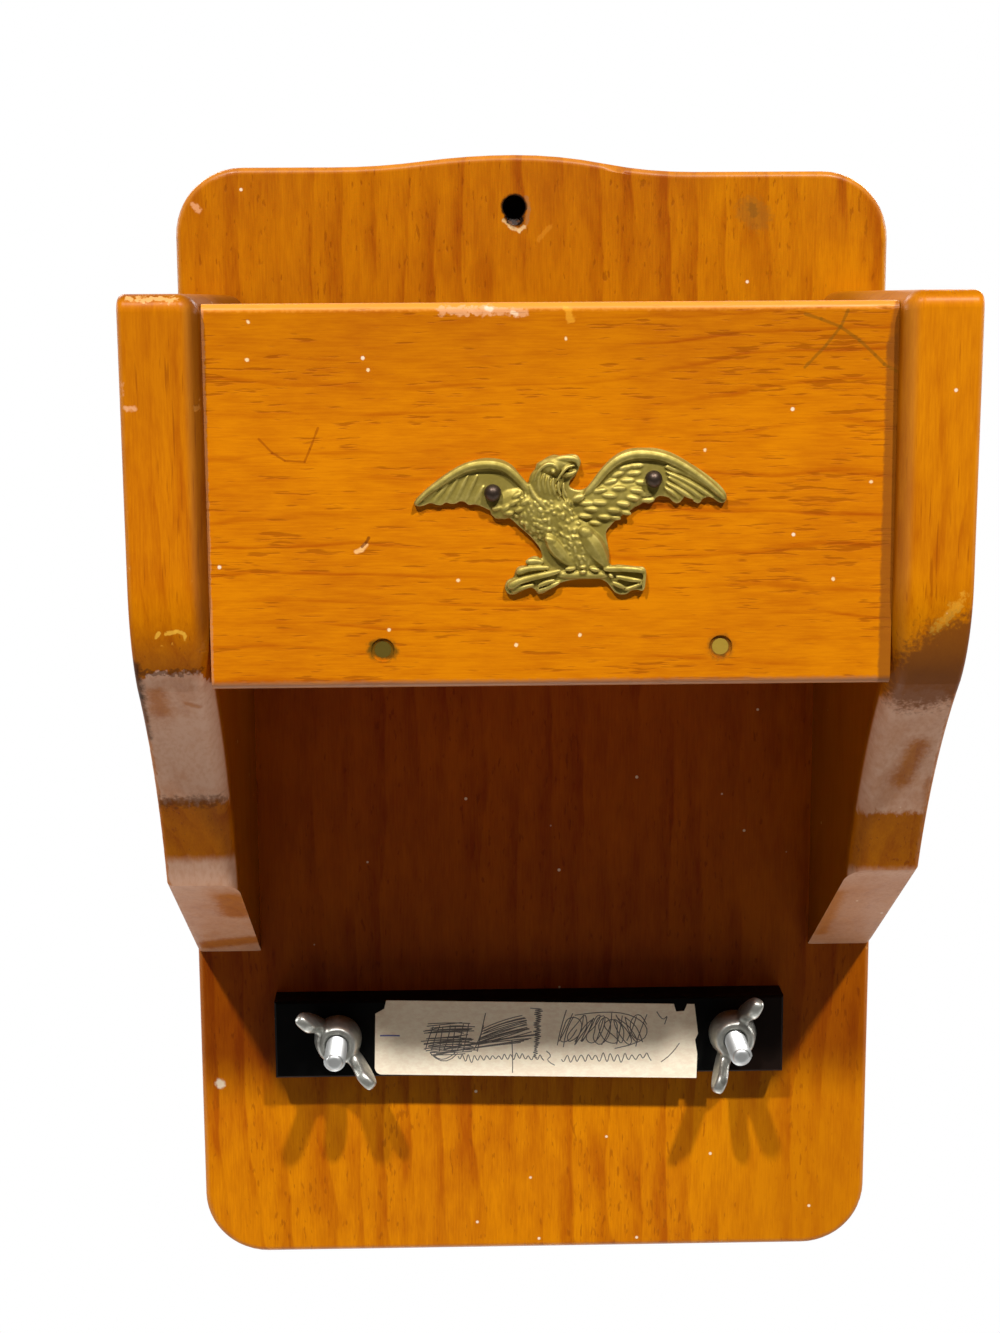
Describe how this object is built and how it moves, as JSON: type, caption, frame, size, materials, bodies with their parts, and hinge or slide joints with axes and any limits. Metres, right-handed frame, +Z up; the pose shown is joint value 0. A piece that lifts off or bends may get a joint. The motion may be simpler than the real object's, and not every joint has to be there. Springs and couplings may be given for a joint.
{
  "type": "wall mail organizer",
  "caption": "Wooden wall rack for mail: shaped back board with a hanging hole, a pocket between scrolled side brackets, an eagle ornament, and a bar clamp tightened by wing nuts.",
  "frame": {"origin": "axis of the hanging hole where it meets the back board's rear face", "axes": "+Z up, +Y into the wall, so the front looks towards -Y, and +X to the right as seen from the front"},
  "size_m": [0.2032, 0.1333, 0.3302],
  "materials": {
    "varnished_pine": "amber varnish, satin to gloss, worn arrises",
    "antique_brass": "antiqued stamping, dull in the recesses",
    "dark_bronze": "dark patina, polished crown",
    "brass_nail": "aged brass",
    "steel_screw": "zinc-plated, dull",
    "zinc_bolt": "zinc-plated",
    "cast_zinc": "dull grey zinc, rounded and burnished",
    "black_painted_wood": "black paint, satin",
    "label_paper": "matt, lightly soiled"
  },
  "bodies": {
    "rack": {"back_board": "varnished_pine", "left_bracket": "varnished_pine", "right_bracket": "varnished_pine", "front_panel": "varnished_pine", "pocket_floor": "varnished_pine", "eagle_ornament": "antique_brass", "eagle_pin_left": "dark_bronze", "eagle_pin_right": "dark_bronze", "front_nails": "brass_nail", "side_nails_left": "brass_nail", "side_nails_right": "brass_nail", "bracket_screws_left": "steel_screw", "bracket_screws_right": "steel_screw", "floor_screws": "steel_screw", "clamp_bolt_left": "zinc_bolt", "clamp_bolt_right": "zinc_bolt"},
    "clamp": {"clamp_bar": "black_painted_wood", "paper_label": "label_paper"},
    "left_nut": {"wing_nut_left": "cast_zinc"},
    "right_nut": {"wing_nut_right": "cast_zinc"}
  },
  "joints": [
    {"name": "clamp_slide", "type": "slide", "parent": "rack", "child": "clamp", "axis": [0, -1, 0], "range_m": [0, 0.0133]},
    {"name": "left_nut_spin", "type": "hinge", "parent": "clamp", "child": "left_nut", "pos_m": [-0.054, -0.02857, -0.2428], "axis": [0, -1, 0], "range_deg": [0, 3780]},
    {"name": "right_nut_spin", "type": "hinge", "parent": "clamp", "child": "right_nut", "pos_m": [0.064, -0.02857, -0.2428], "axis": [0, -1, 0], "range_deg": [0, 3780]}
  ],
  "couplings": [
    {"joint": "left_nut_spin", "follows": "clamp_slide", "rad_per_m": 4947.4},
    {"joint": "right_nut_spin", "follows": "clamp_slide", "rad_per_m": 4947.4}
  ]
}
